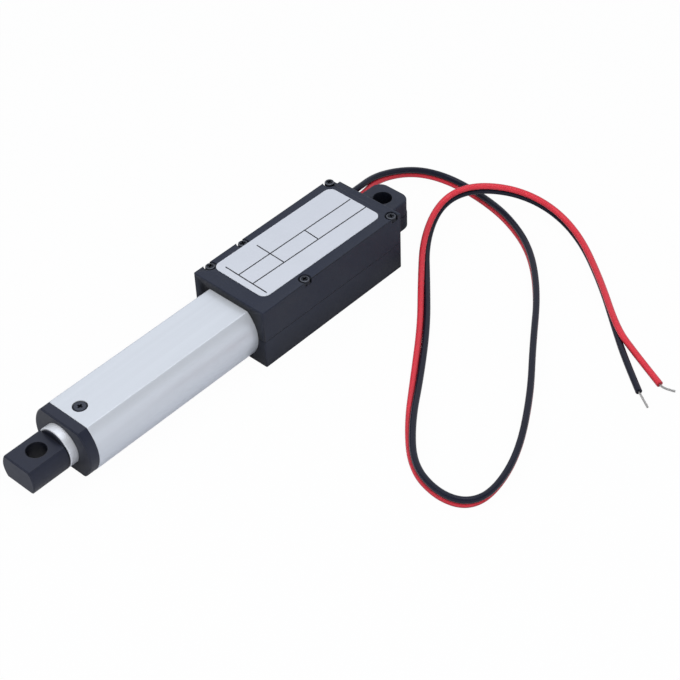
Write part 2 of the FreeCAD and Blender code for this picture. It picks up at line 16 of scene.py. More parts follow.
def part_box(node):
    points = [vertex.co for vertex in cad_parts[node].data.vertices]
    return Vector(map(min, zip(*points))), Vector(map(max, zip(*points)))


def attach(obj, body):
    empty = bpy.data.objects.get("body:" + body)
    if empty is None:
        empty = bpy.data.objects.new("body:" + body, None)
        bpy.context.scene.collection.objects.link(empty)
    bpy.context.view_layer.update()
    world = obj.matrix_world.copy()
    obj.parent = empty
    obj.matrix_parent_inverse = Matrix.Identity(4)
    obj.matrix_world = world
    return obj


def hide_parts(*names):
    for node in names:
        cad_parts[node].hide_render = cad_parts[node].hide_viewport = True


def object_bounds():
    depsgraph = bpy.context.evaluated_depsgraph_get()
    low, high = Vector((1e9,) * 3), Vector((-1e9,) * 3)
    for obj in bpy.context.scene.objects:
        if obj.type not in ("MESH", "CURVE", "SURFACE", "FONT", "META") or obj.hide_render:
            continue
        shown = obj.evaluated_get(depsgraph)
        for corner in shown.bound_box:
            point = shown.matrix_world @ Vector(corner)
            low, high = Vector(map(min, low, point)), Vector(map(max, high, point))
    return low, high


bl_info = {
    "name": "Micro linear actuator",
    "version": (1, 0, 0),
    "blender": (4, 5, 0),
    "location": "View3D > Sidebar > Actuator",
    "description": "Finishes, print, screws and twin lead of a micro linear actuator",
    "category": "Object",
}

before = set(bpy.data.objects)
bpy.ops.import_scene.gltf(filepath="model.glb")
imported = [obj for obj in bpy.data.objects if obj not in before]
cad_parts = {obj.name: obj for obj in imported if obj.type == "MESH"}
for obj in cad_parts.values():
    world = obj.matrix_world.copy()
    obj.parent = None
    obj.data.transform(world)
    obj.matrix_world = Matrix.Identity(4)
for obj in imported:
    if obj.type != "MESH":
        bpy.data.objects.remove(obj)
cad_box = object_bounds()

# The lead's centre line from just behind the lug to where it splits, with the pair's roll in degrees.
# Roll 0 puts the black wire on the left of the way it runs, and 90 puts it on top.
LEAD_ROUTE = [
    (-0.0065, -0.0080, 0.0012, 82),
    (-0.0135, -0.0070, -0.0006, 104),
    (-0.0190, -0.0045, -0.0026, 102),
    (-0.0225, 0.0005, -0.0045, 95),
    (-0.0230, 0.0085, -0.00535, 95),
    (-0.0210, 0.0180, -0.00545, 85),
    (-0.0155, 0.0285, -0.00545, 90),
    (-0.0053, 0.0384, -0.00545, 90),
    (0.0080, 0.0475, -0.00545, 90),
    (0.0200, 0.0563, -0.00545, 90),
    (0.0340, 0.0643, -0.00545, 80),
    (0.0450, 0.0670, -0.00545, 70),
    (0.0505, 0.0650, -0.00545, 80),
    (0.0520, 0.0590, -0.00545, 90),
    (0.0495, 0.0510, -0.00545, 105),
    (0.0410, 0.0430, -0.00555, 130),
    (0.0295, 0.0351, -0.00605, 176),
    (0.0175, 0.0266, -0.00565, 184),
    (0.0075, 0.0181, -0.00540, 202),
    (-0.0025, 0.0097, -0.00430, 240),
    (-0.0120, 0.0060, -0.00200, 270),
    (-0.0180, 0.0090, 0.00035, 275),
    (-0.0235, 0.0165, 0.00035, 280),
    (-0.0270, 0.0245, -0.00230, 280),
    (-0.0255, 0.0340, -0.00480, 280),
    (-0.0170, 0.0460, -0.00545, 280),
    (-0.0068, 0.0575, -0.00545, 270),
]

# Each wire starts inside the housing and runs straight back through its rear face, at its own y and z.
WIRE_EXIT_X = (0.0077, 0.0008)
HOUSING_BACK = 0.0052
BLACK_EXIT = (-0.0069, 0.0031)
RED_EXIT = (-0.00535, 0.0021)

# Past the split each wire lies by itself, and its bare end goes on from where the insulation stops.
RED_END = [(-0.0042, 0.0633, -0.00560), (0.0000, 0.0731, -0.00615)]
BLACK_END = [(-0.0015, 0.0636, -0.00615), (0.0044, 0.0712, -0.00615)]
RED_TIP = [(0.0000, 0.0731, -0.00615), (0.0005, 0.0744, -0.00615), (-0.0003, 0.0766, -0.00615)]
BLACK_TIP = [(0.0044, 0.0712, -0.00615), (0.0069, 0.0751, -0.00615)]

# The way to the middle of the white ceiling that the reflections show, overhead and a little behind.
CEILING = (-0.41, -0.41, 0.82)

# The point that every softbox faces.
LIT_POINT = Vector((0.045, 0.02, 0.0))

# Places closer than this, in metres, are the same.
TINY = 1e-6

# A noise texture's values lie mostly between these.
NOISE_SPAN = {"From Min": 0.3, "From Max": 0.7}

# Where each housing screw stands, how far its cross is turned, and how far its head stands proud.
HOUSING_SCREWS = [
    (0.0071, -0.00874, 20, 0.0003),
    (0.0071, 0.00874, 50, 0.0),
    (0.0335, -0.00874, 65, 0.0),
    (0.0335, 0.00874, 8, 0.0),
    (0.0430, -0.00874, 35, 0.0),
]

# The middle of the label's rear edge, about which the film is stuck on a little askew.
LABEL_REAR = (0.0083, -0.00015)

# The label's ruled lines, each from one end to the other.
LABEL_RULES = [
    ((0.0413, -0.0060), (0.04163, 0.00601)),
    ((0.0414, -0.00217), (0.00855, -0.00143)),
    ((0.0415, 0.00193), (0.00834, 0.00285)),
    ((0.03224, -0.00592), (0.03257, 0.00224)),
    ((0.02231, -0.00174), (0.02262, 0.00249)),
]


def linear_colour(hex_code):
    """Turn an sRGB hex value into linear red, green and blue."""
    shares = [int(hex_code[start:start + 2], 16) / 255 for start in (1, 3, 5)]
    return [share / 12.92 if share <= 0.04045 else ((share + 0.055) / 1.055) ** 2.4 for share in shares]


def size_of(name, description, default):
    """A length that a user may change, in metres."""
    return bpy.props.FloatProperty(name=name, description=description, default=default, unit="LENGTH")


def angle_of(name, description, degrees):
    """An angle that a user may change."""
    return bpy.props.FloatProperty(
        name=name, description=description, default=math.radians(degrees), subtype="ANGLE"
    )


def share_of(name, description, default):
    """A share, from nothing to all, that a user may change."""
    return bpy.props.FloatProperty(
        name=name, description=description, default=default, min=0.0, max=1.0, subtype="FACTOR"
    )


def power_of(name, description, default):
    """A lamp's power that a user may change, in watts."""
    return bpy.props.FloatProperty(
        name=name, description=description, default=default, min=0.0, unit="POWER"
    )


def place_of(name, description, default):
    """A place that a user may change, in metres."""
    return bpy.props.FloatVectorProperty(
        name=name, description=description, default=default, subtype="TRANSLATION", unit="LENGTH"
    )


def tint_of(name, description, default, most=2.0):
    """A colour of light or paint that a user may change, in linear parts."""
    return bpy.props.FloatVectorProperty(
        name=name, description=description, default=default, subtype="COLOR", min=0.0, max=most
    )


def colour_of(name, description, hex_code):
    """A colour that a user may change, written as the sRGB hex value it shows."""
    return tint_of(name, description, linear_colour(hex_code), 1.0)


class ActuatorSizes(bpy.types.PropertyGroup):
    """Sizes of the pieces that are modelled here."""

    wire_diameter: size_of("Wire", "Diameter of each insulated wire", 0.0014)
    strand_diameter: size_of("Strand", "Diameter of one strand of a bare wire end", 0.00014)
    strand_lay: size_of("Strand lay", "Length in which a strand goes once round", 0.0065)
    screw_head: size_of("Screw head", "Diameter of a housing screw's head", 0.0021)
    screw_head_height: size_of("Screw head height", "Height of a housing screw's head", 0.0010)
    pocket_gap: size_of("Pocket gap", "Gap between a screw head and its pocket", 0.00033)
    screw_shank: size_of("Screw shank", "Diameter of a housing screw's shank", 0.0010)
    screw_length: size_of("Screw length", "Length of a housing screw under its head", 0.0112)
    screw_cross: share_of("Screw cross", "Reach of a housing screw's cross, as a share of its head", 0.35)
    cap_screw_head: size_of("Cap screw head", "Diameter of the cap screw's head", 0.0031)
    cap_screw_shank: size_of("Cap screw shank", "Diameter of the cap screw's shank", 0.0020)
    cap_screw_cross: share_of("Cap screw cross", "Reach of its cross, as a share of its head", 0.24)
    label_length: size_of("Label length", "Length of the label film", 0.0348)
    label_width: size_of("Label width", "Width of the label film", 0.0148)
    label_corner: size_of("Label corner", "Radius of the label's corners", 0.0017)
    label_turn: angle_of("Label turn", "How far the label is stuck on askew", -0.8)
    rule_width: size_of("Rule width", "Width of a printed line on the label", 0.00030)
    lead_screw: size_of("Lead screw", "Diameter over the lead screw's thread", 0.0040)
    thread_lead: size_of("Thread lead", "How far the nut moves in one turn of the screw", 0.0020)
    thread_depth: size_of("Thread depth", "Depth of the lead screw's thread", 0.0004)
    screw_collar: size_of("Screw collar", "Diameter of the lead screw's collar", 0.0054)
    screw_collar_length: size_of("Screw collar length", "Length of the lead screw's collar", 0.0008)
    coupling_pin: size_of("Coupling pin", "Diameter of the pin through the lead screw", 0.0008)


class ActuatorColours(bpy.types.PropertyGroup):
    """Colours of the finishes."""

    housing: colour_of("Housing", "Textured shells", "#1C2130")
    fittings: colour_of("Cap and rod end", "Smooth moulded fittings", "#191D2C")
    tube: colour_of("Tube", "Anodised tube", "#CED3DB")
    rod: colour_of("Rod", "Ground steel rod", "#E2E5EC")
    steel: colour_of("Steel", "Plain steel of the drive", "#B9BCC2")
    screws: colour_of("Screws", "Blackened screws", "#34363C")
    # Painted highlight on the rims of the housing screws.
    rim_highlight: colour_of("Rim highlights", "Rims of the screw heads, painted as a highlight", "#64666C")
    phosphate: colour_of("Cap screw", "Grey phosphate on the cap screw", "#4E515A")
    brass: colour_of("Brass", "Gear wheels", "#C8A15A")
    label: colour_of("Label film", "Printed film", "#C5CAD5")
    ink: colour_of("Ink", "Ruled lines of the label", "#11131B")
    red_wire: colour_of("Red wire", "Insulation of the red wire", "#CC3744")
    black_wire: colour_of("Black wire", "Insulation of the black wire", "#181A28")
    tinned: colour_of("Tinned copper", "Bare strands of the wire ends", "#CCCAC6")
    rubber: colour_of("Rubber", "Wiper ring", "#17181C")
    nut: colour_of("Nut", "Drive nut", "#E4E1D6")
    motor_end: colour_of("Motor end", "Moulded end of the motor", "#1D1E22")
    board: colour_of("Circuit board", "Solder mask of the boards", "#1F5A3C")


class ActuatorStage(bpy.types.PropertyGroup):
    """The floor, the light and the camera."""

    camera_place: place_of("Camera", "Where the camera stands", (0.23539, 0.21306, 0.25275))
    camera_aim: place_of("Aim", "The point that the camera looks at", (0.03635, 0.02066, 0.0))
    camera_roll: angle_of("Roll", "How far the camera is turned about its own axis", -2.47)
    lens: bpy.props.FloatProperty(name="Lens", description="Focal length", default=99.17, unit="CAMERA")
    fill: bpy.props.FloatProperty(
        name="Fill", description="Strength of the even light from all round", default=0.28, min=0.0
    )
    tint: tint_of("Tint", "Colour of the light from all round", (0.96, 0.995, 1.055))
    top_power: power_of("Top light", "Power of the softbox overhead", 0.3)
    key_power: power_of("Key light", "Power of the softbox on the near side", 2.6)
    side_power: power_of("Side light", "Power of the softbox beyond the rod end", 1.5)
    key_tint: tint_of("Key tint", "Colour of the key and side lights", (1.0, 0.985, 0.955))
    floor_paint: tint_of("Floor paint", "Colour of the floor's paint", (0.645, 0.658, 0.70))
    floor_whiteness: share_of("Floor whiteness", "Share of the floor that shows plain white", 0.97)
    floor_mirrored: share_of("Floor in reflections", "Share that reflects plain white", 0.05)
    dark_walls: share_of("Dark walls", "How dark the walls are in reflections", 0.75)


def sizes():
    return bpy.context.scene.actuator_sizes


def colours():
    return bpy.context.scene.actuator_colours


def per_metre(millimetres):
    """Texture scale that repeats a pattern once in so many millimetres."""
    return 1000.0 / millimetres


def shade(colour, level):
    """A colour made darker or lighter, with full alpha."""
    return [min(part * level, 1.0) for part in colour] + [1.0]


def add_node(owner, kind, inputs=None, **settings):
    """Add a shader node to a material or world, set its options, and fill or link its inputs."""
    tree = owner.node_tree
    node = tree.nodes.new("ShaderNode" + kind)
    for name, value in settings.items():
        setattr(node, name, value)
    for socket, value in (inputs or {}).items():
        if isinstance(value, bpy.types.NodeSocket):
            tree.links.new(value, node.inputs[socket])
        else:
            node.inputs[socket].default_value = value
    return node


def new_material(name):
    """A material with no shader yet, and the object's own coordinates for its patterns."""
    material = bpy.data.materials.new(name)
    material.use_nodes = True
    material.node_tree.nodes.clear()
    return material, add_node(material, "TexCoord").outputs["Object"]


def moulded_plastic(name, colour, grain, depth, roughness, gloss):
    """An injection-moulded plastic with the mould's grain, in millimetres across and metres deep."""
    material, place = new_material(name)
    pits = add_node(
        material, "TexNoise",
        {"Vector": place, "Scale": per_metre(grain), "Detail": 3.0, "Roughness": 0.6},
    )
    # The melt's flow leaves cloudy patches of about 9 mm.
    flow = add_node(
        material, "TexNoise",
        {"Vector": place, "Scale": per_metre(9.0), "Detail": 4.0, "Roughness": 0.65},
    )
    mixed = add_node(material, "Math", {0: pits.outputs[0], 1: flow.outputs[0]}, operation="ADD")
    tone = add_node(
        material, "MapRange",
        {"Value": mixed.outputs[0], "From Min": 0.7, "From Max": 1.3, "To Min": 0.0, "To Max": 1.0},
    )
    unshaded = add_node(
        material, "Mix",
        {0: tone.outputs[0], 6: shade(colour, 0.86), 7: shade(colour, 1.14)}, data_type="RGBA",
    )
    # Painted shade darkens the corners, holes and joints within about 8 mm of another face.
    open_side = add_node(material, "AmbientOcclusion", {"Distance": 0.008}, samples=8)
    with_painted_shade = add_node(
        material, "Mix",
        {0: open_side.outputs["AO"], 6: shade(colour, 0.05), 7: unshaded.outputs[2]}, data_type="RGBA",
    )
    # The edges are painted darker than the faces, a painted shade along them, and made smoother.
    rounded = add_node(material, "Bevel", {"Radius": 0.0002}, samples=6)
    facing = add_node(material, "NewGeometry").outputs["Normal"]
    level = add_node(
        material, "VectorMath", {0: rounded.outputs[0], 1: facing}, operation="DOT_PRODUCT"
    )
    edge = add_node(
        material, "MapRange",
        {"Value": level.outputs["Value"], "From Min": 0.99, "From Max": 0.85, "To Min": 0.0, "To Max": 1.0},
    )
    base = add_node(
        material, "Mix",
        {0: edge.outputs[0], 6: with_painted_shade.outputs[2], 7: shade(colour, 0.1)}, data_type="RGBA",
    )
    matt = add_node(
        material, "MapRange",
        {"Value": flow.outputs[0], **NOISE_SPAN, "To Min": roughness - 0.05,
         "To Max": roughness + 0.07},
    )
    dull = add_node(
        material, "Mix",
        {0: edge.outputs[0], 2: matt.outputs[0], 3: roughness * 0.5}, data_type="FLOAT",
    )
    relief = add_node(
        material, "Bump",
        {"Strength": 1.0, "Distance": depth, "Height": pits.outputs[0], "Normal": rounded.outputs[0]},
    )
    shader = add_node(
        material, "BsdfPrincipled",
        {"Base Color": base.outputs[2], "Roughness": dull.outputs[0], "Specular IOR Level": gloss,
         "Normal": relief.outputs[0]},
    )
    add_node(material, "OutputMaterial", {"Surface": shader.outputs[0]})
    return material


def patterned(name, colour, tone, dull, relief, metallic):
    """A finish whose tone, roughness and relief each follow a noise.

    Each of the three starts with its noise's grain, in millimetres along X, Y and Z, and its detail. Then
    come the darkest and palest shade, the lowest and highest roughness, or the depth in metres.
    """
    material, place = new_material(name)
    noises = []
    for pattern in (tone, dull, relief):
        stretched = add_node(
            material, "Mapping", {"Vector": place, "Scale": [per_metre(grain) for grain in pattern[0]]}
        )
        noise = add_node(
            material, "TexNoise", {"Vector": stretched.outputs[0], "Scale": 1.0, "Detail": pattern[1]}
        )
        noises.append(noise.outputs[0])
    base = add_node(
        material, "Mix",
        {0: noises[0], 6: shade(colour, tone[2]), 7: shade(colour, tone[3])}, data_type="RGBA",
    )
    rough = add_node(
        material, "MapRange", {"Value": noises[1], **NOISE_SPAN, "To Min": dull[2], "To Max": dull[3]}
    )
    bumps = add_node(material, "Bump", {"Strength": 1.0, "Distance": relief[2], "Height": noises[2]})
    shader = add_node(
        material, "BsdfPrincipled",
        {"Base Color": base.outputs[2], "Metallic": metallic, "Roughness": rough.outputs[0],
         "Normal": bumps.outputs[0]},
    )
    add_node(material, "OutputMaterial", {"Surface": shader.outputs[0]})
    return material


def worked_metal(name, colour, roughness, across, along, depth, metallic=1.0):
    """A metal with tool marks: lines across millimetres apart, and along millimetres long on X."""
    marks = (along, across, across)
    cloud = (7.0, 7.0, 7.0)
    return patterned(
        name, colour, (marks, 3.0, 0.9, 1.08), (cloud, 3.0, roughness * 0.85, roughness * 1.2),
        (marks, 3.0, depth), metallic,
    )


def anodised_tube():
    """Extruded aluminium, blasted and clear anodised: a pale satin grey with a fine even sparkle."""
    # The die leaves faint streaks along the tube, about 1.5 mm apart.
    streaks = (60.0, 1.5, 1.5)
    # Blasting leaves pits of about 0.05 mm, drawn at 0.3 mm so that they show.
    pits = (0.3, 0.3, 0.3)
    return patterned(
        "Aluminium, blasted and clear anodised", colours().tube, (streaks, 2.0, 0.95, 1.05),
        (pits, 2.0, 0.33, 0.42), (pits, 2.0, 0.000004), 0.4,
    )


def label_film():
    """Matt polyester film, printed and die cut: a cool pale grey with a faint cloudiness."""
    cloud = (5.0, 5.0, 5.0)
    # The laminate's emboss is about 0.1 mm, drawn at 0.35 mm so that it shows.
    emboss = (0.35, 0.35, 0.35)
    return patterned(
        "Polyester film, matt laminated", colours().label, (cloud, 4.0, 0.96, 1.04),
        (cloud, 4.0, 0.42, 0.52), (emboss, 2.0, 0.000006), 0.0,
    )


def label_ink():
    """Thermal print under the laminate: dark grey, a little broken up where the ribbon missed."""
    material, place = new_material("Resin ribbon print")
    colour = colours().ink
    missed = add_node(material, "TexNoise", {"Vector": place, "Scale": per_metre(0.4), "Detail": 2.0})
    base = add_node(
        material, "Mix",
        {0: missed.outputs[0], 6: shade(colour, 0.8), 7: shade(colour, 1.25)}, data_type="RGBA",
    )
    shader = add_node(material, "BsdfPrincipled", {"Base Color": base.outputs[2], "Roughness": 0.45})
    add_node(material, "OutputMaterial", {"Surface": shader.outputs[0]})
    return material


def wire_insulation(name, colour):
    """Extruded PVC: an even colour with a soft gloss, slightly rubbed along its length."""
    material, place = new_material(name)
    rubbed = add_node(material, "TexNoise", {"Vector": place, "Scale": per_metre(3.0), "Detail": 4.0})
    skin = add_node(material, "TexNoise", {"Vector": place, "Scale": per_metre(0.5), "Detail": 2.0})
    unshaded = add_node(
        material, "Mix",
        {0: rubbed.outputs[0], 6: shade(colour, 0.9), 7: shade(colour, 1.1)}, data_type="RGBA",
    )
    # Painted shade darkens the groove between the wires and where they lie on the floor.
    open_side = add_node(material, "AmbientOcclusion", {"Distance": 0.0018}, samples=8)
    base = add_node(
        material, "Mix",
        {0: open_side.outputs["AO"], 6: shade(colour, 0.2), 7: unshaded.outputs[2]}, data_type="RGBA",
    )
    dull = add_node(
        material, "MapRange",
        {"Value": rubbed.outputs[0], **NOISE_SPAN, "To Min": 0.16, "To Max": 0.28},
    )
    relief = add_node(
        material, "Bump", {"Strength": 1.0, "Distance": 0.000001, "Height": skin.outputs[0]}
    )
    shader = add_node(
        material, "BsdfPrincipled",
        {"Base Color": base.outputs[2], "Roughness": dull.outputs[0], "Specular IOR Level": 0.2,
         "Normal": relief.outputs[0]},
    )
    add_node(material, "OutputMaterial", {"Surface": shader.outputs[0]})
    return material


def dress(material, *nodes):
    """Give CAD nodes a finish."""
    for name in nodes:
        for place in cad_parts[name].material_slots:
            place.material = material


def deselect_all():
    bpy.ops.object.select_all(action="DESELECT")


def select_only(piece):
    deselect_all()
    piece.select_set(True)
    bpy.context.view_layer.objects.active = piece


def select_faces(piece, wanted):
    """In edit mode, select the faces whose centre and normal pass a test."""
    bpy.ops.mesh.select_mode(type="FACE")
    bpy.ops.mesh.select_all(action="DESELECT")
    mesh = bmesh.from_edit_mesh(piece.data)
    for face in mesh.faces:
        face.select_set(wanted(face.calc_center_median(), face.normal))
    bmesh.update_edit_mesh(piece.data)


def select_edges(piece, wanted):
    """In edit mode, select the edges whose two ends pass a test."""
    bpy.ops.mesh.select_mode(type="EDGE")
    bpy.ops.mesh.select_all(action="DESELECT")
    mesh = bmesh.from_edit_mesh(piece.data)
    for edge in mesh.edges:
        edge.select_set(wanted(edge.verts[0].co, edge.verts[1].co))
    bmesh.update_edit_mesh(piece.data)


def place_piece(piece, body, slot, *nodes):
    """Put a finished piece on its body, in place of CAD nodes. The slot is not used."""
    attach(piece, body)
    if nodes:
        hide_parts(*nodes)


def combine(piece, other, way):
    """Join a second shape to a piece, or cut it away, and remove it."""
    select_only(piece)
    step = piece.modifiers.new("Combine", "BOOLEAN")
    step.object = other
    step.operation = way
    step.solver = "EXACT"
    bpy.ops.object.modifier_apply(modifier=step.name)
    bpy.data.objects.remove(other)


def extrude(offset):
    """In edit mode, extrude what is selected and move the new end."""
    bpy.ops.mesh.extrude_region_move(TRANSFORM_OT_translate={"value": offset})


def cross_cutter(reach, width, depth, top):
    """A plus-shaped cutter, narrower at the bottom, that leaves a cross recess of this reach."""
    taper = 0.55
    deselect_all()
    bpy.ops.mesh.primitive_cube_add(size=1.0, location=(0.0, 0.0, top))
    cutter = bpy.context.object
    cutter.scale = (width, width, 2 * depth)
    bpy.ops.object.transform_apply()
    bpy.ops.object.mode_set(mode="EDIT")
    select_faces(cutter, lambda centre, normal: abs(normal.z) < 0.5)
    bpy.ops.mesh.extrude_faces_move(TRANSFORM_OT_shrink_fatten={"value": reach - width / 2})
    select_faces(cutter, lambda centre, normal: normal.z < -0.5)
    bpy.ops.transform.resize(value=(taper, taper, 1.0), center_override=(0.0, 0.0, top - depth))
    bpy.ops.object.mode_set(mode="OBJECT")
    return cutter


def cross_screw(name, head, head_height, shank, length, reach, finishes):
    """One screw at the origin, its head's underside at z = 0, with a cross recess and its rim in the second
    finish.
    """
    point = 0.3
    rounding = head * 0.12
    slot_width = head * 0.19
    slot_depth = head_height * 0.65
    rim_radius = head * 0.39
    rim_height = head_height * 0.8
    deselect_all()
    bpy.ops.mesh.primitive_cylinder_add(
        vertices=48, radius=head / 2, depth=head_height, location=(0.0, 0.0, head_height / 2)
    )
    screw = bpy.context.object
    screw.name = name
    bpy.ops.object.transform_apply()
    bpy.ops.object.mode_set(mode="EDIT")
    select_faces(screw, lambda centre, normal: normal.z < -0.5)
    bpy.ops.mesh.inset(thickness=(head - shank) / 2)
    extrude((0.0, 0.0, -length + shank / 2))
    extrude((0.0, 0.0, -shank / 2))
    bpy.ops.transform.resize(value=(point, point, 1.0), center_override=(0.0, 0.0, -length))
    select_edges(screw, lambda first, last: min(first.z, last.z) > head_height - TINY)
    bpy.ops.mesh.bevel(offset=rounding, segments=4)
    bpy.ops.object.mode_set(mode="OBJECT")
    combine(screw, cross_cutter(head * reach, slot_width, slot_depth, head_height), "DIFFERENCE")
    bpy.ops.object.shade_smooth_by_angle(angle=math.radians(35))
    for finish in finishes:
        screw.data.materials.append(finish)
    # The rim's faces take the second finish: a painted highlight on the housing screws, painted shade on
    # the cap screw.
    for face in screw.data.polygons:
        if face.center.z > rim_height and face.center.xy.length > rim_radius:
            face.material_index = 1
    return screw


def way_at(points, number):
    """The way a line runs at one of its points, and the level way to its left."""
    along = points[min(number + 1, len(points) - 1)] - points[max(number - 1, 0)]
    return along.normalized(), Vector((-along.y, along.x, 0.0)).normalized()


def wire_route(side, exit_place, end):
    """One wire's points: side +1 is the black wire and -1 the red one."""
    pitch = sizes().wire_diameter
    points = [Vector((x, *exit_place)) for x in WIRE_EXIT_X]
    centres = [Vector(place[:3]) for place in LEAD_ROUTE]
    for number, centre in enumerate(centres):
        left = way_at(centres, number)[1]
        roll = math.radians(LEAD_ROUTE[number][3])
        offset = left * math.cos(roll) + Vector((0.0, 0.0, math.sin(roll)))
        points.append(centre + offset * (side * pitch / 2))
    return points + [Vector(place) for place in end]


def smooth_line(name, points):
    """A NURBS curve with the route's points as its control points, and no thickness yet."""
    data = bpy.data.curves.new(name, "CURVE")
    data.dimensions = "3D"
    spline = data.splines.new("NURBS")
    spline.points.add(len(points) - 1)
    for place, point in zip(spline.points, points):
        place.co = (*point, 1.0)
    spline.order_u = 3
    spline.use_endpoint_u = True
    data.resolution_u = 16
    curve = bpy.data.objects.new(name, data)
    bpy.context.collection.objects.link(curve)
    return curve


def points_along(curve):
    """Points read from a curve that has no thickness."""
    graph = bpy.context.evaluated_depsgraph_get()
    line = bpy.data.meshes.new_from_object(curve.evaluated_get(graph))
    points = [vertex.co.copy() for vertex in line.vertices]
    bpy.data.meshes.remove(line)
    return points


def insulated_wire(name, points, material):
    wire = smooth_line(name, points)
    wire.data.bevel_depth = sizes().wire_diameter / 2
    wire.data.bevel_resolution = 6
    wire.data.use_fill_caps = True
    wire.data.materials.append(material)
    return wire


def bare_strands(name, route, material):
    """Seven strands twisted round the line of a bare wire end, opening a little towards the tip."""
    outer_strands = 6
    spread = 0.35
    tucked_in = 0.0008
    places = [Vector(place) for place in route]
    inside = places[0] - (places[1] - places[0]).normalized() * tucked_in
    guide = smooth_line(name + "_guide", [inside] + places)
    line = points_along(guide)
    bpy.data.objects.remove(guide)
    data = bpy.data.curves.new(name, "CURVE")
    data.dimensions = "3D"
    data.bevel_depth = sizes().strand_diameter / 2
    data.bevel_resolution = 3
    data.use_fill_caps = True
    for strand in range(outer_strands + 1):
        spline = data.splines.new("POLY")
        spline.points.add(len(line) - 1)
        travelled = 0.0
        for number, point in enumerate(line):
            before = line[max(number - 1, 0)]
            travelled += (point - before).length
            along, left = way_at(line, number)
            up = along.cross(left)
            turn = 2 * math.pi * (strand / outer_strands + travelled / sizes().strand_lay)
            open_up = 1.0 + spread * number / len(line)
            away = (left * math.cos(turn) + up * math.sin(turn)) * sizes().strand_diameter * open_up
            spline.points[number].co = (*(point + away * (strand < outer_strands)), 1.0)
    strands = bpy.data.objects.new(name, data)
    bpy.context.collection.objects.link(strands)
    strands.data.materials.append(material)
    return strands


